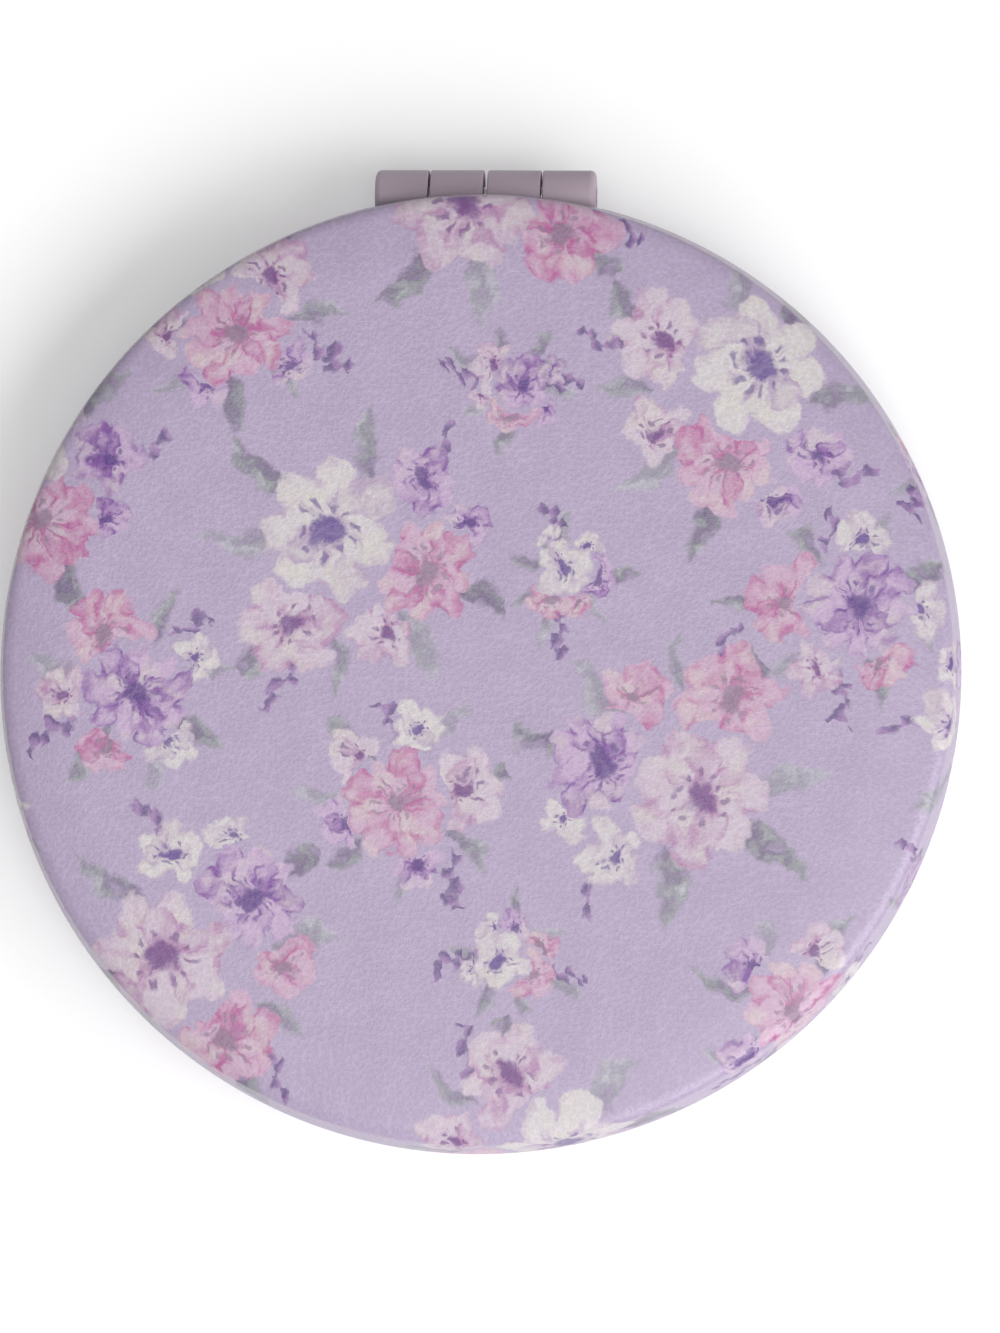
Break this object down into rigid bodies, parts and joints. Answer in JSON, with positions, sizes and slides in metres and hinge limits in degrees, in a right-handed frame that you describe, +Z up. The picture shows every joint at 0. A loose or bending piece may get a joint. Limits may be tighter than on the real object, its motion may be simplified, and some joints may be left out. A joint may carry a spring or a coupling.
{
  "type": "compact mirror",
  "caption": "Round folding pocket compact mirror: leather-covered lid and base on a barrel hinge, with a plane mirror and a magnifying mirror inside and a magnetic closure.",
  "frame": {"origin": "centre of the base's flat outer face, on which the closed compact lies", "axes": "+Z up through the base and the closed lid, +Y towards the hinge, +X along the hinge pin"},
  "size_m": [0.07, 0.072, 0.011],
  "materials": {
    "printed_leather": "lilac coated leather with a fine grain and a floral print, satin",
    "padding_foam": "thin white open-cell foam",
    "cap_plastic": "moulded, fine spark texture",
    "frame_plastic": "mauve moulded, fine satin texture",
    "mirror_tape": "white double-sided foam tape",
    "mirror_glass": "silvered glass with a ground bevel",
    "magnet_nickel": "nickel plated",
    "pin_steel": "drawn wire"
  },
  "bodies": {
    "base": {"base_leather": "printed_leather", "base_padding": "padding_foam", "base_cap": "cap_plastic", "base_frame": "frame_plastic", "base_mirror_tape": "mirror_tape", "base_mirror": "mirror_glass", "base_magnet": "magnet_nickel", "hinge_pin": "pin_steel"},
    "lid": {"lid_leather": "printed_leather", "lid_padding": "padding_foam", "lid_cap": "cap_plastic", "lid_frame": "frame_plastic", "lid_mirror_tape": "mirror_tape", "lid_mirror": "mirror_glass", "lid_magnet": "magnet_nickel"}
  },
  "joints": [
    {"name": "lid_hinge", "type": "hinge", "parent": "base", "child": "lid", "pos_m": [0, 0.03505, 0.0055], "axis": [-1, 0, 0], "range_deg": [0, 180]}
  ]
}
